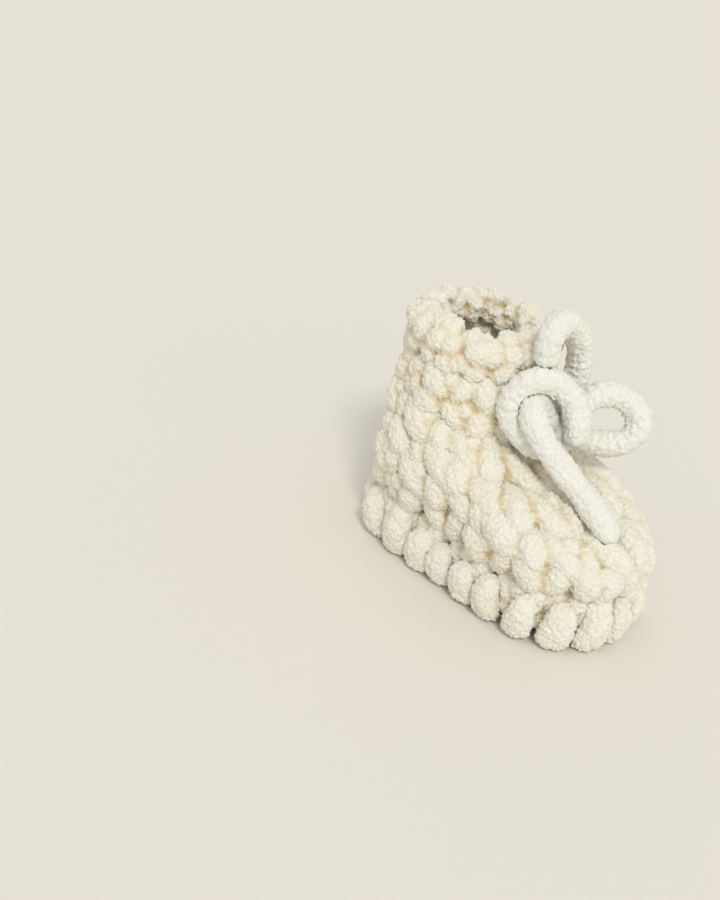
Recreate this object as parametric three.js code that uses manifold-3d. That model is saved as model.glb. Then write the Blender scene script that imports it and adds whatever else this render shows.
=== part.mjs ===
// A baby's crocheted bootie: chunky chenille rounds on a felt sole, whipstitched
// round the edge, with a chenille tie through the ankle that ends in a bow.
// Millimetres, +Z up, toe towards -Y, origin under the middle of the bootie.
import * as THREE from 'three';
import { mergeVertices } from 'three/addons/utils/BufferGeometryUtils.js';
import Module from 'manifold-3d';

const wasm = await Module();
wasm.setup();

// Driving dimensions
const SOLE_LENGTH = 100; // the felt, heel to toe: a three to six month size
const BALL_RADIUS = 26; // the felt's round toe end
const HEEL_RADIUS = 21; // the felt's round heel end
const FELT_THICK = 4;
const YARN = 9; // width of one fluffed strand where it lies flat
const STRAND_THICK = 5; // its thickness where it is pulled tight over the felt
const BITE = 2; // how far the tight strands sink into the felt
const GAP = 0.3; // between faces that touch
const WALL = 8; // the crocheted fabric, outside to inside
const GROOVE = 1.8; // depth of the valley between two rounds
const STITCHES = 22; // whipstitches round the sole
const STITCH_REACH = 12; // how far a whipstitch runs in under the felt
const STITCH_TOP = 19; // how far up its outer leg climbs
const TUNNEL = 4.2; // the tie's way through the fabric at the ankle
const TIE_TIGHT = 3.6; // the tie inside that tunnel
const TIE_LOOSE = 6.5; // the tie outside it, with its pile pressed down
const KNOT_RADIUS = 5.6; // the knot, pulled tight
const RING_STEPS = 40; // facets round each crocheted ring

const FELT_BOTTOM = STRAND_THICK - BITE;
const FELT_TOP = FELT_BOTTOM + FELT_THICK;

// One value for each edge between two rounds, from the felt up, and last the top of the
// rim: where the ring's front and back stand, how high they are, how round each end is.
const FRONT_Y = [-50, -53, -54.5, -41, -22, -4.5, -0.5, 0];
const BACK_Y = [50, 52.5, 55, 55, 53.5, 52, 52, 52];
const FRONT_Z = [FELT_TOP + GAP, 19, 31, 39.5, 47, 56, 75, 89];
const BACK_Z = [FELT_TOP + GAP, 19, 31, 42.5, 53, 64, 77, 90];
const FRONT_RADIUS = [BALL_RADIUS, 28.5, 32.5, 31, 27.5, 25, 25.5, 26];
const BACK_RADIUS = [HEEL_RADIUS, 24, 28.5, 30, 28.5, 26.5, 25.5, 26];
const ROUNDS = FRONT_Y.length - 2;
const TIE_LEVEL = 5; // the ankle tie runs between the fifth and the sixth round

const CREAM = 0xf0e9d6;
const GREY = 0x77767a;

const bootie = new THREE.Group();

function addPiece(name, geometry, color, roughness = 0.95) {
  const material = new THREE.MeshStandardMaterial({ color, roughness, metalness: 0 });
  const mesh = new THREE.Mesh(geometry, material);
  mesh.name = name;
  bootie.add(mesh);
  return mesh;
}

// --- booleans -------------------------------------------------------------

function toSolid(geometry) {
  const bare = geometry.clone();
  bare.deleteAttribute('normal');
  bare.deleteAttribute('uv');
  const merged = mergeVertices(bare, 1e-4);
  return new wasm.Manifold(new wasm.Mesh({
    numProp: 3,
    vertProperties: Float32Array.from(merged.attributes.position.array),
    triVerts: Uint32Array.from(merged.index.array),
  }));
}

function toGeometry(solid) {
  const { vertProperties, triVerts } = solid.getMesh();
  const geometry = new THREE.BufferGeometry();
  geometry.setAttribute('position', new THREE.BufferAttribute(vertProperties, 3));
  geometry.setIndex(new THREE.BufferAttribute(triVerts, 1));
  geometry.computeVertexNormals();
  return geometry;
}

// --- the bootie's outer surface --------------------------------------------

// A smooth value between the listed ones, at a level that need not be whole.
function between(values, level) {
  const last = values.length - 1;
  const low = Math.min(Math.max(Math.floor(level), 0), last - 1);
  const at = (i) => {
    if (i < 0) return 2 * values[0] - values[1];
    if (i > last) return 2 * values[last] - values[last - 1];
    return values[i];
  };
  const [a, b, c, d] = [at(low - 1), at(low), at(low + 1), at(low + 2)];
  const f = level - low;
  const slopeB = (c - a) / 2;
  const slopeC = (d - b) / 2;
  const square = 3 * (c - b) - 2 * slopeB - slopeC;
  const cube = 2 * (b - c) + slopeB + slopeC;
  return b + slopeB * f + square * f * f + cube * f * f * f;
}

// A round toe end and a round heel end with straight sides tangent to both. The turn
// goes from 0 at the toe, over +X, to 1 at the toe again, in equal steps of length.
function outline(frontY, backY, frontRadius, backRadius, turn) {
  const frontCentre = frontY + frontRadius;
  const backCentre = backY - backRadius;
  const lean = Math.asin((frontRadius - backRadius) / (backCentre - frontCentre));
  const frontArc = frontRadius * (Math.PI / 2 + lean);
  const side = (backCentre - frontCentre) * Math.cos(lean);
  const half = frontArc + side + backRadius * (Math.PI / 2 - lean);
  const wrapped = ((turn % 1) + 1) % 1;
  const mirror = wrapped > 0.5 ? -1 : 1;
  const way = 2 * half * (mirror > 0 ? wrapped : 1 - wrapped);
  const onArc = (centre, radius, angle) => ({
    x: mirror * radius * Math.sin(angle),
    y: centre - radius * Math.cos(angle),
    normalX: mirror * Math.sin(angle),
    normalY: -Math.cos(angle),
    radius,
  });
  if (way < frontArc) return onArc(frontCentre, frontRadius, way / frontRadius);
  if (way < frontArc + side) {
    const start = onArc(frontCentre, frontRadius, Math.PI / 2 + lean);
    const along = way - frontArc;
    return {
      ...start,
      x: start.x - mirror * along * Math.sin(lean),
      y: start.y + along * Math.cos(lean),
      radius: Infinity,
    };
  }
  const angle = Math.PI / 2 + lean + (way - frontArc - side) / backRadius;
  return onArc(backCentre, backRadius, angle);
}

function surface(level, turn) {
  const rim = outline(
    between(FRONT_Y, level),
    between(BACK_Y, level),
    between(FRONT_RADIUS, level),
    between(BACK_RADIUS, level),
    turn,
  );
  const frontShare = (1 + Math.cos(2 * Math.PI * turn)) / 2;
  const z = THREE.MathUtils.lerp(between(BACK_Z, level), between(FRONT_Z, level), frontShare);
  return new THREE.Vector3(rim.x, rim.y, z);
}

// The surface's point, its outward normal and the way up it.
function fabricFrame(level, turn) {
  const step = 0.002;
  const point = surface(level, turn);
  const round = surface(level, turn + step).sub(surface(level, turn - step)).normalize();
  const rise = surface(level + 0.05, turn).sub(surface(level - 0.05, turn)).normalize();
  const outward = round.clone().cross(rise).normalize();
  const up = outward.clone().cross(round).normalize();
  return { point, outward, up };
}

// A point at a depth under the surface, moved up the fabric by lift.
function fabricPoint(level, turn, depth, lift = 0) {
  const { point, outward, up } = fabricFrame(level, turn);
  return point.addScaledVector(outward, -depth).addScaledVector(up, lift);
}

// A closed ring round the foot or ankle. Each corner of its section is
// [level, depth under the surface, lift along the surface].
function ringGeometry(section) {
  const corners = section.length;
  const position = [];
  const index = [];
  for (let i = 0; i < RING_STEPS; i += 1) {
    const next = (i + 1) % RING_STEPS;
    for (let j = 0; j < corners; j += 1) {
      const [level, depth, lift] = section[j];
      position.push(...fabricPoint(level, i / RING_STEPS, depth, lift).toArray());
      const beside = (j + 1) % corners;
      const [a, b] = [i * corners + j, next * corners + j];
      const [c, d] = [next * corners + beside, i * corners + beside];
      // the same diagonal on both sides of a joint, so that neighbours stay parallel
      const shallowFirst = depth <= section[beside][1];
      index.push(...(shallowFirst ? [a, b, c, a, c, d] : [a, b, d, b, c, d]));
    }
  }
  const geometry = new THREE.BufferGeometry();
  geometry.setAttribute('position', new THREE.Float32BufferAttribute(position, 3));
  geometry.setIndex(index);
  geometry.computeVertexNormals();
  return geometry;
}

// A tube of eight flats. On a path that starts along +X, height is its size in Z.
function tube(points, height, width, steps) {
  const sides = 8;
  const toFlats = 1 / Math.cos(Math.PI / sides);
  const corners = Array.from({ length: sides }, (_, i) => {
    const angle = (2 * Math.PI * (i + 0.5)) / sides;
    const x = (height / 2) * toFlats * Math.cos(angle);
    return new THREE.Vector2(x, (width / 2) * toFlats * Math.sin(angle));
  });
  const extrudePath = new THREE.CatmullRomCurve3(points, false, 'centripetal');
  return new THREE.ExtrudeGeometry(new THREE.Shape(corners), {
    steps,
    extrudePath,
    bevelEnabled: false,
  });
}

// --- felt sole and its whipstitches ----------------------------------------

function soleEdge(turn) {
  const half = SOLE_LENGTH / 2;
  return outline(-half, half, BALL_RADIUS, HEEL_RADIUS, turn);
}

// A frame at the sole's edge: +X of the group points out of the bootie.
function placeAtEdge(object, turn) {
  const edge = soleEdge(turn);
  object.position.set(edge.x, edge.y, 0);
  object.rotation.z = Math.atan2(edge.normalY, edge.normalX);
  object.updateMatrix();
  return object;
}

// Strands that fan in towards the middle of a round end get narrower on the way.
function narrowInwards(geometry, radius) {
  const position = geometry.attributes.position;
  for (let i = 0; i < position.count; i += 1) {
    const inwards = Math.max(0, -position.getX(i));
    position.setY(i, position.getY(i) * (1 - inwards / radius));
  }
  return geometry;
}

function whipstitchGeometry(radius) {
  const middle = STRAND_THICK / 2;
  const outside = 2 * GAP + middle;
  const path = [
    new THREE.Vector3(-STITCH_REACH, 0, middle),
    new THREE.Vector3(-STITCH_REACH / 2, 0, middle),
    new THREE.Vector3(-1, 0, middle),
    new THREE.Vector3(outside - 0.6, 0, middle + 1.2),
    new THREE.Vector3(outside + 0.3, 0, middle + 4.5),
    new THREE.Vector3(outside + 1.2, 0, 12),
    new THREE.Vector3(outside + 2.4, 0, STITCH_TOP),
  ];
  return narrowInwards(tube(path, STRAND_THICK, YARN, 8), radius);
}

function recessGeometry(radius) {
  const halfWidth = YARN / 2 + GAP;
  const slot = new THREE.Shape();
  slot.moveTo(2, -halfWidth);
  slot.lineTo(2, halfWidth);
  slot.lineTo(0, halfWidth);
  slot.lineTo(-STITCH_REACH - GAP, halfWidth);
  slot.lineTo(-STITCH_REACH - GAP, -halfWidth);
  slot.lineTo(0, -halfWidth);
  const depth = STRAND_THICK + GAP - FELT_BOTTOM + 1;
  const cut = new THREE.ExtrudeGeometry(slot, { depth, bevelEnabled: false });
  cut.translate(0, 0, FELT_BOTTOM - 1);
  return narrowInwards(cut, radius);
}

function feltSole() {
  const points = Array.from({ length: 64 }, (_, i) => {
    const edge = soleEdge(i / 64);
    return new THREE.Vector2(edge.x, edge.y);
  });
  const sheet = { depth: FELT_THICK, bevelEnabled: false };
  const blank = new THREE.ExtrudeGeometry(new THREE.Shape(points), sheet);
  blank.translate(0, 0, FELT_BOTTOM);
  let felt = toSolid(blank);
  for (let i = 0; i < STITCHES; i += 1) {
    const turn = i / STITCHES;
    const cut = recessGeometry(soleEdge(turn).radius);
    cut.applyMatrix4(placeAtEdge(new THREE.Object3D(), turn).matrix);
    felt = felt.subtract(toSolid(cut));
  }
  addPiece('felt_sole', toGeometry(felt), GREY, 1);
}

function whipstitches() {
  for (let i = 0; i < STITCHES; i += 1) {
    const turn = i / STITCHES;
    const name = `sole_stitch_${String(i + 1).padStart(2, '0')}`;
    const stitch = addPiece(name, whipstitchGeometry(soleEdge(turn).radius), CREAM);
    placeAtEdge(stitch, turn);
  }
}

// --- crocheted rounds --------------------------------------------------------

// Half of the tie's tunnel, open towards the next round.
function tunnelHalf(level, side) {
  const lip = (WALL - TUNNEL) / 2;
  return [
    [level, lip + TUNNEL, (side * GAP) / 2],
    [level, lip + TUNNEL, (side * TUNNEL) / 2],
    [level, lip, (side * TUNNEL) / 2],
    [level, lip, (side * GAP) / 2],
  ];
}

function roundSection(round) {
  const bottom = round - 1;
  return [
    [bottom, GROOVE, GAP / 2],
    [bottom + 0.5, 0, 0],
    [round, GROOVE, -GAP / 2],
    ...(round === TIE_LEVEL ? tunnelHalf(round, -1).reverse() : []),
    [round, WALL, -GAP / 2],
    [bottom, WALL, GAP / 2],
    ...(bottom === TIE_LEVEL ? tunnelHalf(bottom, 1) : []),
  ];
}

function crochetedRounds() {
  for (let round = 1; round <= ROUNDS; round += 1) {
    let ring = ringGeometry(roundSection(round));
    if (round === TIE_LEVEL || round === TIE_LEVEL + 1) {
      const pierced = exitHoles().reduce((solid, hole) => solid.subtract(hole), toSolid(ring));
      ring = toGeometry(pierced);
    }
    addPiece(`upper_round_${round}`, ring, CREAM);
  }
}

// The last strand, slip stitched round the opening, stands on the top round as a fat roll.
function cuffRim() {
  const sides = 8;
  const section = Array.from({ length: sides }, (_, i) => {
    const angle = (2 * Math.PI * (i + 0.5)) / sides;
    const level = ROUNDS + 0.5 - 0.54 * Math.cos(angle);
    return [level, (WALL / 2) * (1 - 1.2 * Math.sin(angle)), GAP];
  });
  addPiece('cuff_rim', ringGeometry(section), CREAM);
}

// --- the tie ---------------------------------------------------------------

const KNOT = new THREE.Vector3(0, -12.5, 61);

// Each loop and tail starts at the knot. The loops come back to it.
const LOOP_LEFT = [
  [-8.2, -11.6, 58.6], [-11.0, -9.4, 60.0], [-13.6, -6.6, 62.4], [-15.2, -3.8, 65.6],
  [-15.6, -1.8, 69.4], [-15.4, -1.4, 73.4], [-14.4, -2.4, 77.2], [-12.6, -4.4, 80.2],
  [-9.8, -7.0, 81.9], [-6.6, -9.8, 81.6], [-4.0, -12.8, 79.8], [-2.4, -15.6, 77.0],
  [-1.6, -17.8, 73.4], [-1.6, -19.6, 69.4], [-1.6, -20.0, 65.4],
];
const LOOP_RIGHT = [
  [2.4, -14.2, 67.4], [4.2, -14.6, 70.4], [6.8, -15.4, 73.2], [10.0, -16.8, 75.4],
  [13.4, -19.2, 76.6], [16.6, -22.6, 76.2], [19.0, -26.2, 74.2], [20.2, -29.2, 71.0],
  [19.8, -30.6, 67.2], [18.0, -30.0, 63.8], [15.4, -27.6, 61.4], [12.8, -24.2, 60.0],
  [10.4, -20.6, 59.6], [8.4, -17.4, 60.0], [6.9, -15.2, 60.6],
];
const TAIL_LEFT = [
  [-3.8, -9.2, 66.6], [-5.4, -7.8, 70.0], [-8.2, -7.0, 72.8], [-11.8, -7.6, 73.6],
  [-14.8, -9.8, 72.0], [-16.0, -13.0, 68.8], [-15.0, -16.2, 65.0], [-13.0, -19.2, 61.2],
  [-11.0, -22.4, 57.6], [-9.2, -25.8, 54.3], [-8.0, -29.3, 51.4], [-7.3, -32.8, 48.9],
  [-7.0, -36.4, 46.5], [-6.8, -40.0, 44.1], [-6.6, -43.4, 41.6],
];
const TAIL_RIGHT = [
  [5.7, -8.6, 62.6], [8.8, -7.8, 66.0], [11.2, -7.0, 70.0], [12.8, -6.4, 74.5],
  [13.4, -6.0, 79.0], [13.0, -5.8, 83.5], [11.8, -5.6, 88.0], [9.8, -5.5, 92.0],
  [7.0, -5.4, 95.6], [3.6, -5.4, 98.4], [-0.4, -5.4, 100.2], [-4.4, -5.4, 99.8],
  [-7.4, -5.4, 97.0], [-8.0, -5.4, 93.2], [-7.2, -5.4, 89.6],
];

function vectors(route) {
  return route.map((point) => new THREE.Vector3(...point));
}

function tieEnd(name, route) {
  addPiece(name, tube(vectors(route), TIE_LOOSE, TIE_LOOSE, 28), CREAM);
}

// The tie runs round the ankle inside the fabric, and comes out at the front by two holes.
function drawstringRoute() {
  const exitTurn = 0.04;
  const rings = 40;
  const round = Array.from({ length: rings + 1 }, (_, i) => {
    const turn = THREE.MathUtils.lerp(exitTurn, 1 - exitTurn, i / rings);
    return fabricPoint(TIE_LEVEL, turn, WALL / 2);
  });
  const exit = (side) => [
    new THREE.Vector3(side * 6.2, -3.4, 57.4),
    new THREE.Vector3(side * 4.8, -7.4, 59),
  ];
  return [...exit(1).reverse(), ...round, ...exit(-1)];
}

function ankleDrawstring() {
  const route = drawstringRoute();
  addPiece('ankle_drawstring', tube(route, TIE_TIGHT, TIE_TIGHT, 64), CREAM);
}

function exitHoles() {
  const bore = TIE_TIGHT + 2 * GAP;
  const route = drawstringRoute();
  const ends = [route.slice(0, 4), route.slice(-4)];
  return ends.map((points) => toSolid(tube(points, bore, bore, 12)));
}

feltSole();
whipstitches();
crochetedRounds();
cuffRim();
ankleDrawstring();
addPiece('bow_knot', new THREE.SphereGeometry(KNOT_RADIUS, 16, 10), CREAM).position.copy(KNOT);
tieEnd('bow_loop_left', LOOP_LEFT);
tieEnd('bow_loop_right', LOOP_RIGHT);
tieEnd('bow_tail_left', TAIL_LEFT);
tieEnd('bow_tail_right', TAIL_RIGHT);

export default bootie;
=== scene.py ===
"""A baby's bootie crocheted in cream chenille on a grey felt sole, with a chenille bow.

Metres, +Z up, toe towards -Y. Shapes are worked out in millimetres, as the part is, and
scaled by MM when a mesh is made.
"""
import math

import bpy
import numpy as np
from mathutils import Matrix, Vector, noise
from mathutils.kdtree import KDTree


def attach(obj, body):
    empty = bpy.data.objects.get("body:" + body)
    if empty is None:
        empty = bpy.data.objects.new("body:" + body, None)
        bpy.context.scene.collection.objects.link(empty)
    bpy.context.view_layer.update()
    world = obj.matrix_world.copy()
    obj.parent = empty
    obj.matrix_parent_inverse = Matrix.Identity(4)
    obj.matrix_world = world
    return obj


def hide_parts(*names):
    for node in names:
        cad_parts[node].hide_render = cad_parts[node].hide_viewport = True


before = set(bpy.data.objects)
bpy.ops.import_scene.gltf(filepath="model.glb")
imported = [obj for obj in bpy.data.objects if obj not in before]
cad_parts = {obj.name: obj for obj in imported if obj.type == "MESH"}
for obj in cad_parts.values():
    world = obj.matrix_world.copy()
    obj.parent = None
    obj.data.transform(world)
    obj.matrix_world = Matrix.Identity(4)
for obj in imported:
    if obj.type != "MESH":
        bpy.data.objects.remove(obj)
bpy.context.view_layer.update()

MM = 0.001
RNG = np.random.default_rng(7)

# --- sizes that repeat the part's ------------------------------------------

SOLE_LENGTH = 100.0
BALL_RADIUS = 26.0
HEEL_RADIUS = 21.0
FELT_BOTTOM = 3.0
FELT_TOP = 7.0
WALL = 8.0
STITCHES = 22
STITCH_REACH = 12.0
STITCH_TOP = 19.0
TIE_LEVEL = 5
FRONT_Y = [-50, -53, -54.5, -41, -22, -4.5, -0.5, 0]
BACK_Y = [50, 52.5, 55, 55, 53.5, 52, 52, 52]
FRONT_Z = [7.3, 19, 31, 39.5, 47, 56, 75, 89]
BACK_Z = [7.3, 19, 31, 42.5, 53, 64, 77, 90]
FRONT_RADIUS = [26, 28.5, 32.5, 31, 27.5, 25, 25.5, 26]
BACK_RADIUS = [21, 24, 28.5, 30, 28.5, 26.5, 25.5, 26]
ROUNDS = 6
KNOT = np.array([0.0, -12.5, 61.0])

# --- the yarn's own sizes ----------------------------------------------------

LOOSE_RADIUS = 4.4   # the tie's pile, where nothing presses on it
STITCH_RADIUS = 5.3  # a leg of a crochet stitch
STITCH_PITCH = 21.5  # from one crochet stitch to the next round the foot
RIM_KNOBS = 21       # in one row round the rim
TUFT = 1.3           # width of one tuft of pile
TUFT_HEIGHT = 0.76
PRESSED_VALLEY = -0.1  # the most painted crevice shade that pile under the tie is given
TUFT_ROW = 3.2       # from one row of tufts to the next along the tie
VOXEL = 0.45
VALLEY_ROUNDS = 64  # of averaging, to tell crests from crevices
VALLEY_DEPTH = 0.8   # a dip that gets the full painted crevice shade
DOME_RINGS = 6       # in a strand's rounded end
END_SUNK = 2.1       # how far a stitch's ends go into the fabric
END_PINCH = 0.28     # how much thinner its ends are
PILE_GIVES = 0.3     # how far a strand's own pile gives way where it lies on fabric
EDGE_RADIUS = 3.4    # of the bulge where the knit meets the felt
EDGE_DEPTH = 2.0     # of the bulge's middle under the surface
FLOOR_HALF = 40000.0
FLOOR_LEVEL = -0.2

TIE_ROUTES = {
    "bow_loop_left": [
        (-8.2, -11.6, 58.6), (-11.0, -9.4, 60.0), (-13.6, -6.6, 62.4), (-15.2, -3.8, 65.6),
        (-15.6, -1.8, 69.4), (-15.4, -1.4, 73.4), (-14.4, -2.4, 77.2), (-12.6, -4.4, 80.2),
        (-9.8, -7.0, 81.9), (-6.6, -9.8, 81.6), (-4.0, -12.8, 79.8), (-2.4, -15.6, 77.0),
        (-1.6, -17.8, 73.4), (-1.6, -19.6, 69.4), (-1.6, -20.0, 65.4),
    ],
    "bow_loop_right": [
        (2.4, -14.2, 67.4), (4.2, -14.6, 70.4), (6.8, -15.4, 73.2), (10.0, -16.8, 75.4),
        (13.4, -19.2, 76.6), (16.6, -22.6, 76.2), (19.0, -26.2, 74.2), (20.2, -29.2, 71.0),
        (19.8, -30.6, 67.2), (18.0, -30.0, 63.8), (15.4, -27.6, 61.4), (12.8, -24.2, 60.0),
        (10.4, -20.6, 59.6), (8.4, -17.4, 60.0), (6.9, -15.2, 60.6),
    ],
    "bow_tail_left": [
        (-3.8, -9.2, 66.6), (-5.4, -7.8, 70.0), (-8.2, -7.0, 72.8), (-11.8, -7.6, 73.6),
        (-14.8, -9.8, 72.0), (-16.0, -13.0, 68.8), (-15.0, -16.2, 65.0), (-13.0, -19.2, 61.2),
        (-11.0, -22.4, 57.6), (-9.2, -25.8, 54.3), (-8.0, -29.3, 51.4), (-7.3, -32.8, 48.9),
        (-7.0, -36.4, 46.5), (-6.8, -40.0, 44.1), (-6.6, -43.4, 41.6),
    ],
    "bow_tail_right": [
        (5.7, -8.6, 62.6), (8.8, -7.8, 66.0), (11.2, -7.0, 70.0), (12.8, -6.4, 74.5),
        (13.4, -6.0, 79.0), (13.0, -5.8, 83.5), (11.8, -5.6, 88.0), (9.8, -5.5, 92.0),
        (7.0, -5.4, 95.6), (3.6, -5.4, 98.4), (-0.4, -5.4, 100.2), (-4.4, -5.4, 99.8),
        (-7.4, -5.4, 97.0), (-8.0, -5.4, 93.2), (-7.2, -5.4, 89.6),
    ],
}
TIE_BODY = {
    "bow_loop_left": "bootie",
    "bow_loop_right": "loop_right",
    "bow_tail_left": "tail_left",
    "bow_tail_right": "tail_right",
}


# --- the bootie's outer surface ------------------------------------------------

def between(values, level):
    """A smooth value between the listed ones, at a level that need not be whole."""
    last = len(values) - 1
    low = min(max(math.floor(level), 0), last - 1)

    def at(i):
        if i < 0:
            return 2 * values[0] - values[1]
        if i > last:
            return 2 * values[last] - values[last - 1]
        return values[i]

    a, b, c, d = (at(low + k) for k in (-1, 0, 1, 2))
    f = level - low
    slope_b, slope_c = (c - a) / 2, (d - b) / 2
    square = 3 * (c - b) - 2 * slope_b - slope_c
    cube = 2 * (b - c) + slope_b + slope_c
    return b + slope_b * f + square * f * f + cube * f ** 3


def outline(front_y, back_y, front_radius, back_radius, turn):
    """x, y and half the length of a round-ended outline, 0 at the toe going over +X."""
    front, back = front_y + front_radius, back_y - back_radius
    apart = back - front
    lean = math.asin((front_radius - back_radius) / apart) if apart > 1e-6 else 0.0
    front_arc = front_radius * (math.pi / 2 + lean)
    side = (back - front) * math.cos(lean)
    half = front_arc + side + back_radius * (math.pi / 2 - lean)
    turn = turn % 1.0
    mirror = -1 if turn > 0.5 else 1
    way = 2 * half * (turn if mirror > 0 else 1 - turn)
    if way < front_arc:
        centre, radius, angle, along = front, front_radius, way / front_radius, 0.0
    elif way < front_arc + side:
        centre, radius, angle = front, front_radius, math.pi / 2 + lean
        along = way - front_arc
    else:
        angle = math.pi / 2 + lean + (way - front_arc - side) / back_radius
        centre, radius, along = back, back_radius, 0.0
    x = radius * math.sin(angle) - along * math.sin(lean)
    y = centre - radius * math.cos(angle) + along * math.cos(lean)
    normal = np.array([mirror * math.sin(angle), -math.cos(angle), 0.0])
    return np.array([mirror * x, y, 0.0]), normal, half


def surface(level, turn):
    """A point of the outer surface, at a level between the listed outlines."""
    rim, _, _ = outline(between(FRONT_Y, level), between(BACK_Y, level),
                        between(FRONT_RADIUS, level), between(BACK_RADIUS, level), turn)
    front_share = (1 + math.cos(2 * math.pi * turn)) / 2
    rim[2] = between(BACK_Z, level) * (1 - front_share) + between(FRONT_Z, level) * front_share
    return rim


def girth(level):
    """The length of the outline round the foot."""
    return 2 * outline(between(FRONT_Y, level), between(BACK_Y, level),
                       between(FRONT_RADIUS, level), between(BACK_RADIUS, level), 0)[2]


def unit(v):
    return v / max(np.linalg.norm(v), 1e-9)


def fabric(level, turn, depth, lift=0.0):
    """A point at a depth under the surface, moved up the fabric by lift."""
    step = 0.002
    around = unit(surface(level, turn + step) - surface(level, turn - step))
    rise = unit(surface(level + 0.05, turn) - surface(level - 0.05, turn))
    outward = unit(np.cross(around, rise))
    up = unit(np.cross(outward, around))
    return surface(level, turn) - outward * depth + up * lift


def sole_edge(turn):
    """A point of the felt's outline, the way out from it, and half the outline's length."""
    half = SOLE_LENGTH / 2
    return outline(-half, half, BALL_RADIUS, HEEL_RADIUS, turn)


# --- meshes ------------------------------------------------------------------

def smooth_route(points, steps):
    """A Catmull-Rom curve through the points, in equal steps of length."""
    p = np.array(points, float)
    p = np.vstack([2 * p[0] - p[1], p, 2 * p[-1] - p[-2]])
    dense = []
    for a, b, c, d in zip(p, p[1:], p[2:], p[3:]):
        for t in np.linspace(0, 1, 12, endpoint=False):
            dense.append(0.5 * (2 * b + (c - a) * t + (2 * a - 5 * b + 4 * c - d) * t * t
                                + (3 * b - a - 3 * c + d) * t ** 3))
    dense.append(p[-2])
    dense = np.array(dense)
    way = np.r_[0, np.linalg.norm(np.diff(dense, axis=0), axis=1).cumsum()]
    even = np.linspace(0, way[-1], steps)
    return np.stack([np.interp(even, way, dense[:, k]) for k in range(3)], axis=1)


def tube(route, radius, sides):
    """Vertices and faces of a tube with domed ends, of one radius or one at each point."""
    route = np.array(route, float)
    radii = np.full(len(route), float(radius)) if np.isscalar(radius) else np.array(radius)
    tangent = np.gradient(route, axis=0)
    tangent /= np.linalg.norm(tangent, axis=1)[:, None]
    angles = np.linspace(0, math.pi / 2, DOME_RINGS + 1)[1:]
    head = [(route[0] - tangent[0] * radii[0] * math.sin(a), radii[0] * math.cos(a))
            for a in angles[::-1]]
    tail = [(route[-1] + tangent[-1] * radii[-1] * math.sin(a), radii[-1] * math.cos(a))
            for a in angles]
    route = np.vstack([[h[0] for h in head], route, [t[0] for t in tail]])
    radii = np.r_[[h[1] for h in head], radii, [t[1] for t in tail]]
    tangent = np.vstack([np.repeat(tangent[:1], DOME_RINGS, 0), tangent,
                         np.repeat(tangent[-1:], DOME_RINGS, 0)])
    side = np.cross(tangent[0], [0, 0, 1])
    if np.linalg.norm(side) < 1e-3:
        side = np.cross(tangent[0], [0, 1, 0])
    side = unit(side)
    rings = []
    for point, along, r in zip(route, tangent, np.maximum(radii, 0.02)):
        side = unit(side - along * side.dot(along))
        over = np.cross(side, along)
        turn = np.linspace(0, 2 * math.pi, sides, endpoint=False)
        rings.append(point + r * (np.outer(np.cos(turn), side) + np.outer(np.sin(turn), over)))
    verts = np.vstack(rings)
    faces = []
    for i in range(len(rings) - 1):
        for j in range(sides):
            k = (j + 1) % sides
            faces.append((i * sides + j, (i + 1) * sides + j, (i + 1) * sides + k, i * sides + k))
    faces.append(tuple(range(sides)))
    faces.append(tuple((len(rings) - 1) * sides + j for j in reversed(range(sides))))
    return verts, faces


def ring(section, steps):
    """A closed ring round the foot, from a section of (level, depth, lift)."""
    n = len(section)
    verts = [fabric(level, i / steps, depth, lift)
             for i in range(steps) for level, depth, lift in section]
    faces = [(i * n + j, (i + 1) % steps * n + j, (i + 1) % steps * n + (j + 1) % n,
              i * n + (j + 1) % n) for i in range(steps) for j in range(n)]
    return np.array(verts), faces


def joined(shapes):
    """Several shapes' vertices and faces as one."""
    verts, faces, start = [], [], 0
    for v, f in shapes:
        verts.append(v)
        faces += [tuple(i + start for i in face) for face in f]
        start += len(v)
    return np.vstack(verts), faces


def make_mesh(name, verts, faces):
    mesh = bpy.data.meshes.new(name)
    mesh.from_pydata((np.asarray(verts) * MM).tolist(), [], faces)
    mesh.update()
    piece = bpy.data.objects.new(name, mesh)
    bpy.context.scene.collection.objects.link(piece)
    return piece


def apply_modifiers(piece):
    graph = bpy.context.evaluated_depsgraph_get()
    mesh = bpy.data.meshes.new_from_object(piece.evaluated_get(graph))
    piece.modifiers.clear()
    piece.data = mesh


def remesh(piece, smoothing=4):
    """Melts overlapping strands into one skin, with soft valleys between them."""
    modifier = piece.modifiers.new("skin", "REMESH")
    modifier.mode = "VOXEL"
    modifier.voxel_size = VOXEL * MM
    relax = piece.modifiers.new("relax", "SMOOTH")
    relax.iterations = smoothing
    relax.factor = 0.5
    apply_modifiers(piece)


def positions(mesh):
    out = np.empty(len(mesh.vertices) * 3)
    mesh.vertices.foreach_get("co", out)
    return out.reshape(-1, 3) / MM


def normals(mesh):
    out = np.empty(len(mesh.vertices) * 3)
    mesh.vertices.foreach_get("normal", out)
    return out.reshape(-1, 3)


def place(mesh, verts):
    mesh.vertices.foreach_set("co", (verts * MM).ravel())
    mesh.update()


def neighbours_mean(mesh, values, rounds):
    """Values averaged over each vertex's neighbours, again and again."""
    edges = np.empty(len(mesh.edges) * 2, int)
    mesh.edges.foreach_get("vertices", edges)
    a, b = edges.reshape(-1, 2).T
    count = np.bincount(np.r_[a, b], minlength=len(mesh.vertices)).clip(1)
    out = values.copy()
    for _ in range(rounds):
        total = np.stack([np.bincount(a, out[b, k], len(count))
                          + np.bincount(b, out[a, k], len(count))
                          for k in range(out.shape[1])], axis=1)
        out = total / count[:, None]
    return out


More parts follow.
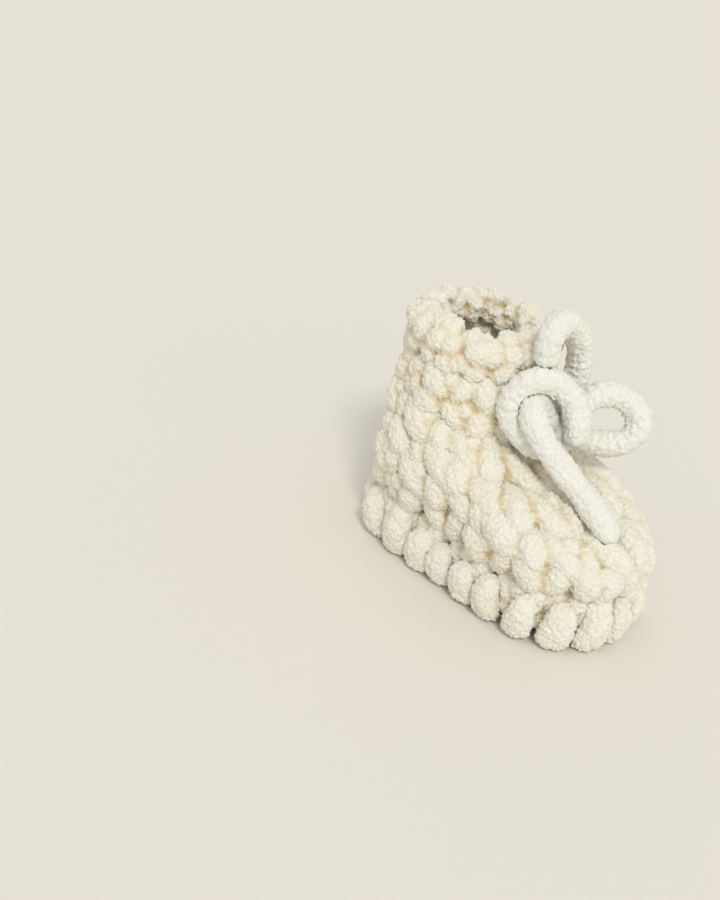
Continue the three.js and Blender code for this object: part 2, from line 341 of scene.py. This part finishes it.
def tufted(piece, height=TUFT_HEIGHT, width=TUFT, seed=0.0, pressed=None):
    """Raises the pile in tufts, and stores how deep each vertex lies as a point attribute, from
    which the materials paint shade into crevices and a highlight onto crests.

    Where a strand has pressed the pile down, its painted crevice shade is held to no more than
    open pile gets.
    """
    mesh = piece.data
    verts, out = positions(mesh), normals(mesh)
    shift = Vector((seed, 2.3 * seed, -seed))
    lift = np.empty(len(verts))
    for i, v in enumerate(verts):
        at = Vector(v) / width + shift
        near = noise.voronoi(at)[0]
        crown = 1.0 - min(near[0] * 1.25, 1.0)
        lift[i] = 1.5 * crown - 0.6 + 0.55 * noise.noise(Vector(v) / 3.4 + shift)
    verts = verts + out * (lift * height)[:, None]
    place(mesh, verts)
    # How far each vertex dips under its averaged neighbours sets its painted shade (deep) or
    # painted highlight (high).
    low = neighbours_mean(mesh, verts, VALLEY_ROUNDS)
    dip = np.einsum("ij,ij->i", low - verts, normals(mesh))
    values = np.clip(dip / VALLEY_DEPTH, -1, 1)[:, None]
    if pressed is not None:
        values[pressed] = np.minimum(values[pressed], PRESSED_VALLEY)
    values = neighbours_mean(mesh, values, 4)[:, 0]
    attribute = mesh.attributes.new("cavity_shade", "FLOAT", "POINT")
    attribute.data.foreach_set("value", values.astype(np.float32))
    for polygon in mesh.polygons:
        polygon.use_smooth = True


# --- materials ---------------------------------------------------------------

def node(tree, kind, **settings):
    out = tree.nodes.new(kind)
    for name, value in settings.items():
        setattr(out, name, value)
    return out


def ramp(tree, source, stops):
    out = node(tree, "ShaderNodeValToRGB")
    elements = out.color_ramp.elements
    while len(elements) < len(stops):
        elements.new(0.5)
    for element, (place_at, color) in zip(elements, stops):
        element.position = place_at
        element.color = (*color, 1)
    tree.links.new(source, out.inputs[0])
    return out.outputs[0]


def blend(tree, way, share, a, b):
    out = node(tree, "ShaderNodeMix", data_type="RGBA", blend_type=way)
    for socket, value in ((out.inputs[0], share), (out.inputs[6], a), (out.inputs[7], b)):
        if isinstance(value, bpy.types.NodeSocket):
            tree.links.new(value, socket)
        else:
            socket.default_value = value if isinstance(value, float) else (*value, 1)
    return out.outputs[2]


def new_material(name):
    material = bpy.data.materials.new(name)
    material.use_nodes = True
    tree = material.node_tree
    return material, tree, tree.nodes["Principled BSDF"]


def chenille(name, crest_highlight, body, crevice_shade):
    """Soft pile, with a painted highlight on its crests and warm painted shade deep in the
    valleys between strands.
    """
    material, tree, shader = new_material(name)
    where = node(tree, "ShaderNodeTexCoord").outputs["Object"]
    cavity_shade = node(tree, "ShaderNodeAttribute", attribute_name="cavity_shade").outputs["Fac"]
    to_unit = node(tree, "ShaderNodeMapRange")
    to_unit.inputs["From Min"].default_value = -1.0
    to_unit.inputs["From Max"].default_value = 1.0
    tree.links.new(cavity_shade, to_unit.inputs["Value"])
    # Painted light: by the pile's depth, crests get a painted highlight and crevices a warm
    # painted shade; the middle stop is the yarn's own colour.
    warm_shade = tuple(0.70 * b + 0.30 * c for b, c in zip(body, crevice_shade))
    color = ramp(tree, to_unit.outputs[0],
                 [(0.30, crest_highlight), (0.47, body), (0.66, warm_shade), (1.0, crevice_shade)])
    patches = node(tree, "ShaderNodeTexNoise")
    patches.inputs["Scale"].default_value = 90.0
    patches.inputs["Detail"].default_value = 3.0
    tree.links.new(where, patches.inputs["Vector"])
    tint = ramp(tree, patches.outputs["Fac"],
                [(0.3, (1.0, 0.965, 0.90)), (0.7, (1.0, 1.0, 1.0))])
    color = blend(tree, "MULTIPLY", 0.7, color, tint)
    pile = node(tree, "ShaderNodeTexNoise")
    pile.inputs["Scale"].default_value = 1700.0
    pile.inputs["Detail"].default_value = 5.0
    tree.links.new(where, pile.inputs["Vector"])
    speck = ramp(tree, pile.outputs["Fac"],
                 [(0.32, (0.86, 0.84, 0.79)), (0.6, (1.0, 1.0, 1.0))])
    color = blend(tree, "MULTIPLY", 0.6, color, speck)
    tree.links.new(color, shader.inputs["Base Color"])
    bump = node(tree, "ShaderNodeBump")
    bump.inputs["Strength"].default_value = 0.8
    bump.inputs["Distance"].default_value = 0.0005
    tree.links.new(pile.outputs["Fac"], bump.inputs["Height"])
    tree.links.new(bump.outputs[0], shader.inputs["Normal"])
    shader.inputs["Roughness"].default_value = 0.95
    shader.inputs["Specular IOR Level"].default_value = 0.2
    shader.inputs["Sheen Weight"].default_value = 0.35
    shader.inputs["Sheen Roughness"].default_value = 0.45
    shader.inputs["Sheen Tint"].default_value = (1.0, 0.97, 0.9, 1)
    shader.inputs["Subsurface Weight"].default_value = 0.22
    shader.inputs["Subsurface Radius"].default_value = (1.0, 0.78, 0.45)
    shader.inputs["Subsurface Scale"].default_value = 0.0022
    return material


def felt_material():
    """Grey melange wool: dark ground and pale curly fibres."""
    material, tree, shader = new_material("grey_felt")
    where = node(tree, "ShaderNodeTexCoord").outputs["Object"]
    cloud = node(tree, "ShaderNodeTexNoise")
    cloud.inputs["Scale"].default_value = 130.0
    cloud.inputs["Detail"].default_value = 8.0
    cloud.inputs["Roughness"].default_value = 0.72
    cloud.inputs["Distortion"].default_value = 0.6
    tree.links.new(where, cloud.inputs["Vector"])
    ground = ramp(tree, cloud.outputs["Fac"],
                  [(0.34, (0.030, 0.030, 0.036)), (0.5, (0.105, 0.105, 0.118)),
                   (0.66, (0.26, 0.26, 0.29))])
    bend = node(tree, "ShaderNodeTexNoise")
    bend.inputs["Scale"].default_value = 260.0
    tree.links.new(where, bend.inputs["Vector"])
    moved = node(tree, "ShaderNodeVectorMath", operation="MULTIPLY_ADD")
    moved.inputs[1].default_value = (0.004, 0.004, 0.004)
    tree.links.new(bend.outputs["Color"], moved.inputs[0])
    tree.links.new(where, moved.inputs[2])
    color = ground
    height = cloud.outputs["Fac"]
    for angle, scale in ((0.4, 1500.0), (1.5, 1300.0), (2.5, 1700.0)):
        turned = node(tree, "ShaderNodeMapping")
        turned.inputs["Rotation"].default_value = (0.3, 0.2, angle)
        turned.inputs["Scale"].default_value = (1.0, 0.12, 1.0)
        tree.links.new(moved.outputs[0], turned.inputs["Vector"])
        fibre = node(tree, "ShaderNodeTexNoise")
        fibre.inputs["Scale"].default_value = scale
        fibre.inputs["Detail"].default_value = 2.0
        tree.links.new(turned.outputs[0], fibre.inputs["Vector"])
        share = ramp(tree, fibre.outputs["Fac"], [(0.60, (0, 0, 0)), (0.70, (0.6, 0.6, 0.6))])
        color = blend(tree, "MIX", share, color, (0.42, 0.42, 0.46))
        height = fibre.outputs["Fac"]
    tree.links.new(color, shader.inputs["Base Color"])
    bump = node(tree, "ShaderNodeBump")
    bump.inputs["Strength"].default_value = 0.8
    bump.inputs["Distance"].default_value = 0.0004
    tree.links.new(height, bump.inputs["Height"])
    tree.links.new(bump.outputs[0], shader.inputs["Normal"])
    shader.inputs["Roughness"].default_value = 1.0
    shader.inputs["Specular IOR Level"].default_value = 0.1
    shader.inputs["Sheen Weight"].default_value = 0.3
    shader.inputs["Sheen Roughness"].default_value = 0.5
    return material


# Each pile: painted highlight on crests, the yarn's own colour, then painted shade in crevices.
UPPER = chenille("cream_chenille", (0.90, 0.89, 0.80), (0.87, 0.84, 0.69), (0.72, 0.54, 0.29))
TIE = chenille("tie_chenille", (0.89, 0.905, 0.87), (0.83, 0.84, 0.78), (0.62, 0.58, 0.46))
FELT = felt_material()


# --- camera ------------------------------------------------------------------

def add_camera():
    """Turned towards the bootie as the photograph is, with the bootie right of the middle."""
    azimuth, elevation, roll = (math.radians(a) for a in (-58.6, 27.3, 13.7))
    distance, focal = 0.450, 50.9
    aside, below = 0.1233, 0.0141  # of the distance: how far off the axis the bootie stands
    target = np.array([0.0, 0.0, 0.042])
    right = np.array([math.cos(azimuth), math.sin(azimuth), 0.0])
    ahead = np.array([-math.sin(azimuth) * math.cos(elevation),
                      math.cos(azimuth) * math.cos(elevation), -math.sin(elevation)])
    over = np.cross(right, ahead)
    across = right * math.cos(roll) + over * math.sin(roll)
    upright = over * math.cos(roll) - right * math.sin(roll)
    look = unit(ahead - across * aside + upright * below)
    across = unit(across - look * across.dot(look))
    upright = np.cross(across, look)
    data = bpy.data.cameras.new("camera")
    data.lens = focal
    data.sensor_width = 36.0
    data.clip_start = 0.01
    camera = bpy.data.objects.new("camera", data)
    place_at = Matrix((across, upright, -look)).transposed().to_4x4()
    place_at.translation = Vector(target - ahead * distance)
    camera.matrix_world = place_at
    bpy.context.scene.collection.objects.link(camera)
    bpy.context.scene.camera = camera


add_camera()


# --- the tie -------------------------------------------------------------------

CENTRES = {name: smooth_route(route, 150) for name, route in TIE_ROUTES.items()}


def nearest(tree_points):
    tree = KDTree(len(tree_points))
    for i, point in enumerate(tree_points):
        tree.insert(point, i)
    tree.balance()
    return tree


CENTRE_TREES = {name: nearest(points) for name, points in CENTRES.items()}


def pressed_flat(verts, own):
    """Where two strands touch, the pile of each gives way up to the plane between them."""
    out = verts.copy()
    for i, v in enumerate(verts):
        mine, _, near = CENTRE_TREES[own].find(v)
        for name, tree in CENTRE_TREES.items():
            if name == own:
                continue
            other, _, far = tree.find(v)
            apart = (other - mine).length
            if far < near and apart > 1.0:
                step = other - mine
                over = (Vector(out[i]) - (mine + other) / 2).dot(step) / apart
                out[i] -= np.array(step / apart) * max(over + 0.1, 0.0)
    return out


def add_loose_end(name):
    centre = CENTRES[name]
    sides = 64
    way = np.linspace(0, 1, len(centre))
    run = np.linalg.norm(np.diff(centre, axis=0), axis=1).sum()
    radius = LOOSE_RADIUS * (1 + 0.04 * np.sin(way * 23 + len(name))
                             + 0.03 * np.sin(2 * math.pi * way * run / TUFT_ROW))
    piece = make_mesh(name + "_yarn", *tube(centre, radius, sides))
    place(piece.data, pressed_flat(positions(piece.data), name))
    tufted(piece, 0.6, 1.3, seed=len(name) * 1.7)
    piece.data.materials.append(TIE)
    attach(piece, TIE_BODY[name])
    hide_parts(name)


for loose_end in TIE_ROUTES:
    add_loose_end(loose_end)


def add_knot():
    """The strand goes over the crossing twice and pulls it tight."""
    shapes = [tube([KNOT + [0, 1.2, 0], KNOT + [0, -0.8, 0]], 4.6, 24)]
    for tilt, size in ((0.25, 3.3), (-0.5, 3.1)):
        turn = np.linspace(0.0, 2 * math.pi, 40)
        path = np.stack([1.6 * math.sin(tilt) * 2 + 1.3 * np.sin(turn + tilt),
                         3.2 * np.cos(turn), 3.4 * np.sin(turn)], axis=1) + KNOT
        shapes.append(tube(path, size, 20))
    piece = make_mesh("knot_yarn", *joined(shapes))
    remesh(piece, smoothing=3)
    tufted(piece, 0.5, 1.2, seed=9.0)
    piece.data.materials.append(TIE)
    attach(piece, "bootie")
    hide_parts("bow_knot")


def add_drawstring():
    """The tie inside the ankle, with its two ends coming out at the front."""
    exit_turn = 0.04
    turns = np.linspace(exit_turn, 1 - exit_turn, 60)
    round_ankle = [fabric(TIE_LEVEL, t, WALL / 2) for t in turns]
    ends = [[np.array([side * 4.8, -7.4, 59.0]), np.array([side * 6.2, -3.4, 57.4])]
            for side in (1, -1)]
    route = smooth_route(ends[0] + round_ankle + ends[1][::-1], 240)
    way = np.abs(np.linspace(-1, 1, 240))
    piece = make_mesh("drawstring_yarn", *tube(route, 1.8 + 1.3 * (way > 0.955), 18))
    tufted(piece, 0.25, 1.1, seed=4.0)
    piece.data.materials.append(TIE)
    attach(piece, "bootie")
    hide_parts("ankle_drawstring")


add_knot()
add_drawstring()


# --- crocheted rounds -------------------------------------------------------------

def leg(level_a, turn_a, level_b, turn_b, radius, proud):
    """A fat strand lying on the fabric from one place to another."""
    share = np.linspace(0, 1, 9)
    route = []
    for s in share:
        level = level_a + (level_b - level_a) * s
        turn = turn_a + (turn_b - turn_a) * s
        sunk = END_SUNK * abs(2 * s - 1) ** 2.5
        route.append(fabric(level, turn, radius - proud + sunk))
    return tube(route, radius * (1 - END_PINCH * np.abs(2 * share - 1) ** 2.5), 18)


def round_shell(round_number):
    """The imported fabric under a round's stitches."""
    bottom = round_number - 1
    section = [(bottom, 4.6, 0.3), (bottom + 0.5, 3.8, 0), (round_number, 4.6, -0.3),
               (round_number, WALL - 0.6, -0.3), (bottom + 0.5, WALL + 0.4, 0),
               (bottom, WALL - 0.6, 0.3)]
    return ring(section, 96)


def stitch_row(bottom, top):
    """Slanting pairs that meet in a point, one for each crochet stitch of the row.

    Of each pair one leg stands proud and the other lies deeper, in no fixed order.
    """
    tall = top - bottom
    count = round(girth((bottom + top) / 2) / STITCH_PITCH)
    width = 1.0 / count
    start = RNG.uniform(0, 1)
    shapes = []
    for i in range(count):
        middle = (i + start + RNG.uniform(-0.08, 0.08)) * width
        first = 1 if RNG.random() < 0.5 else -1
        for side, radius, proud in ((first, 1.08, 2.1), (-first, 0.92, 0.4)):
            foot, peak = RNG.uniform(0.34, 0.46), RNG.uniform(0.08, 0.19)
            shapes.append(leg(bottom - tall * RNG.uniform(-0.06, 0.14),
                              middle + side * foot * width,
                              top - tall * RNG.uniform(-0.04, 0.14),
                              middle + side * peak * width,
                              STITCH_RADIUS * radius * RNG.uniform(0.90, 1.08),
                              proud + RNG.uniform(-0.5, 0.6)))
        if RNG.random() < 0.7:
            gap = middle + 0.5 * width
            shapes.append(leg(bottom + 0.60 * tall, gap - 0.04 * width, bottom + 0.95 * tall,
                              gap + 0.04 * width, 3.6, 0.9))
    return shapes


def round_stitches(round_number):
    """The stitches of a round, in two rows on the tall one at the ankle."""
    bottom = round_number - 1
    if round_number == ROUNDS:
        return stitch_row(bottom, bottom + 0.5) + stitch_row(bottom + 0.5, bottom + 1)
    if round_number == 1:
        return stitch_row(bottom - 0.08, bottom + 1)
    return stitch_row(bottom, bottom + 1)


def out_of_foot(centre):
    """The way out of the fabric: up off the instep, turning forwards up the ankle."""
    share = min(max((centre.z - 50.0) / 16.0, 0.0), 1.0)
    instep = Vector((0.0, centre.y + 8.0, 20.0))
    ankle = Vector((0.0, 26.0, centre.z))
    return (centre - instep.lerp(ankle, share)).normalized()


def clear_of_tie(piece):
    """The fabric is pressed straight in under a loop or tail. Returns where they lie close."""
    reach = LOOSE_RADIUS - PILE_GIVES
    verts = positions(piece.data)
    out = verts.copy()
    pressed = np.zeros(len(verts), bool)
    for tree in CENTRE_TREES.values():
        for i, v in enumerate(out):
            centre, _, far = tree.find(v)
            if far > reach + 3.0:
                continue
            outward = out_of_foot(centre)
            away = Vector(v) - centre
            height = away.dot(outward)
            aside = away - outward * height
            if aside.length < reach:
                underside = -math.sqrt(reach ** 2 - aside.length_squared)
                if height > underside:
                    out[i] = centre + aside + outward * underside
            pressed[i] |= far < LOOSE_RADIUS + 1.2
    place(piece.data, out)
    return pressed


def lower_edge():
    """The first round's edge, which bulges over the felt between the whipstitches."""
    angles = np.linspace(-math.pi / 2, 1.5 * math.pi, 14, endpoint=False)
    return ring([(0.0, EDGE_DEPTH - EDGE_RADIUS * math.cos(a), EDGE_RADIUS * math.sin(a) - 0.4)
                 for a in angles], 120)


def add_round(number):
    shapes = [round_shell(number)] + round_stitches(number)
    if number == 1:
        shapes.append(lower_edge())
    piece = make_mesh(f"crochet_round_{number}", *joined(shapes))
    remesh(piece)
    tufted(piece, seed=number * 3.1, pressed=clear_of_tie(piece) if number >= 3 else None)
    piece.data.materials.append(UPPER)
    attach(piece, "bootie")
    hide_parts(f"upper_round_{number}")


def add_rim():
    """The rough last round: close knobs of pile outside, on top and inside the edge."""
    edge = ROUNDS
    section = [(edge + 0.02, 3.0, 0), (edge + 0.50, 0.8, 0), (edge + 0.92, 3.0, 0),
               (edge + 0.95, WALL - 1.0, 0), (edge + 0.50, WALL + 1.4, 0),
               (edge + 0.05, WALL - 0.6, 0)]
    shapes = [ring(section, 140)]
    for row, (height, size, proud) in enumerate(((0.26, 4.3, 1.4), (0.68, 4.5, 1.9),
                                                 (0.84, 4.2, -1.2), (0.60, 4.0, -4.4))):
        for i in range(RIM_KNOBS):
            turn = (i + 0.5 * (row % 2) + RNG.uniform(-0.28, 0.28)) / RIM_KNOBS
            level = edge + height + RNG.uniform(-0.09, 0.07)
            slant = RNG.uniform(-0.30, 0.30) / RIM_KNOBS
            shapes.append(leg(level - 0.13, turn - slant, level + 0.13, turn + slant,
                              size * RNG.uniform(0.82, 1.14), proud + RNG.uniform(-0.6, 0.7)))
    piece = make_mesh("rim_yarn", *joined(shapes))
    remesh(piece)
    tufted(piece, seed=31.0, pressed=clear_of_tie(piece))
    piece.data.materials.append(UPPER)
    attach(piece, "bootie")
    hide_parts("cuff_rim")


for round_number in range(1, ROUNDS + 1):
    add_round(round_number)
add_rim()


# --- sole ---------------------------------------------------------------------

def add_whipstitch(index):
    """One strand from under the felt, round its edge and up the side."""
    turn = index / STITCHES
    edge, outward, _ = sole_edge(turn)
    reach = STITCH_REACH + RNG.uniform(-1.2, 0.6)
    height = STITCH_TOP + RNG.uniform(-4.2, 1.6)
    size = RNG.uniform(0.86, 1.12)
    path = [(-reach + 3.2, 3.1), (-reach / 2, 2.9), (-1.0, 2.9), (2.0, 4.2), (3.3, 7.5),
            (3.9, 11.5), (2.7, height - 3.0)]
    lean = RNG.uniform(-2.6, 2.6)
    side = np.array([-outward[1], outward[0], 0.0])
    route = [edge + outward * x + [0, 0, z] + side * lean * (k - 2) / 4
             for k, (x, z) in enumerate(path)]
    route = smooth_route(route, 26)
    swell = np.linspace(0, 1, 26)
    radius = size * (3.9 + 0.5 * np.sin(swell * math.pi))
    verts, faces = tube(route, radius, 28)
    narrowing = 1.0 - 0.6 * np.clip((verts[:, 2] - 9.0) / 8.0, 0, 1)
    fatter = 1.0 + 0.36 * np.clip((verts - edge) @ outward / 3.0, 0, 1) * narrowing
    across = (verts - edge) @ side
    verts += np.outer(across * (fatter - 1), side)
    verts[:, 2] = np.maximum(verts[:, 2], 0.55)
    piece = make_mesh(f"whipstitch_{index + 1:02d}", verts, faces)
    remesh(piece)
    tufted(piece, seed=index * 1.3)
    verts = positions(piece.data)
    verts[:, 2] = np.maximum(verts[:, 2], 0.0)
    place(piece.data, verts)
    piece.data.materials.append(UPPER)
    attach(piece, "bootie")
    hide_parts(f"sole_stitch_{index + 1:02d}")


def add_felt():
    """Two faces and an edge, softly uneven."""
    steps, rings = ((360, 44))
    verts, faces = [], []
    for top in (False, True):
        for r in range(rings + 1):
            share = 1 - r / rings
            for i in range(steps):
                edge = sole_edge(i / steps)[0]
                height = FELT_TOP if top else FELT_BOTTOM
                ease = 0.9 * max(0.0, (share - 0.97) / 0.03) ** 2
                point = edge * share + [0, 0, height + (-ease if top else ease)]
                point[2] += 0.16 * noise.noise(Vector(point) / 2.2)
                verts.append(point)
    layer = (rings + 1) * steps
    for base, flip in ((0, True), (layer, False)):
        for r in range(rings):
            for i in range(steps):
                j = (i + 1) % steps
                a, b = base + r * steps, base + (r + 1) * steps
                face = (a + i, a + j, b + j, b + i)
                faces.append(face[::-1] if flip else face)
    for i in range(steps):
        j = (i + 1) % steps
        faces.append((i, j, layer + j, layer + i))
    piece = make_mesh("felt", verts, faces)
    weld = piece.modifiers.new("weld", "WELD")
    weld.merge_threshold = 0.01 * MM
    apply_modifiers(piece)
    for polygon in piece.data.polygons:
        polygon.use_smooth = True
    piece.data.materials.append(FELT)
    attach(piece, "bootie")
    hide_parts("felt_sole")


for stitch in range(STITCHES):
    add_whipstitch(stitch)
add_felt()


# --- studio -------------------------------------------------------------------

def add_floor():
    material, tree, shader = new_material("floor_paint")
    shader.inputs["Base Color"].default_value = (0.80, 0.775, 0.71, 1)
    shader.inputs["Roughness"].default_value = 1.0
    shader.inputs["Specular IOR Level"].default_value = 0.0
    corners = [(x * FLOOR_HALF, y * FLOOR_HALF, FLOOR_LEVEL)
               for x, y in ((-1, -1), (1, -1), (1, 1), (-1, 1))]
    floor = make_mesh("floor", corners, [(0, 1, 2, 3)])
    floor.data.materials.append(material)


def add_light(name, came_from, strength, softness, color):
    """A wide soft sun, so that the floor is as bright far away as close by."""
    data = bpy.data.lights.new(name, "SUN")
    data.angle = math.radians(softness)
    data.energy = strength
    data.color = color
    lamp = bpy.data.objects.new(name, data)
    lamp.rotation_euler = (-Vector(came_from)).to_track_quat("-Z", "Y").to_euler()
    bpy.context.scene.collection.objects.link(lamp)


def add_world():
    world = bpy.data.worlds.new("studio")
    world.use_nodes = True
    background = world.node_tree.nodes["Background"]
    background.inputs[0].default_value = (0.79, 0.775, 0.75, 1)
    background.inputs[1].default_value = 0.85
    bpy.context.scene.world = world
    bpy.context.scene.view_settings.view_transform = "Standard"


add_floor()
add_world()
add_light("key", (-0.75, -0.85, 1.15), 1.15, 12, (1.0, 0.985, 0.965))
add_light("fill", (-0.5, -1.0, 0.50), 0.25, 60, (1.0, 0.985, 0.96))
add_light("back", (0.7, 1.0, 0.8), 0.15, 40, (1.0, 0.97, 0.93))
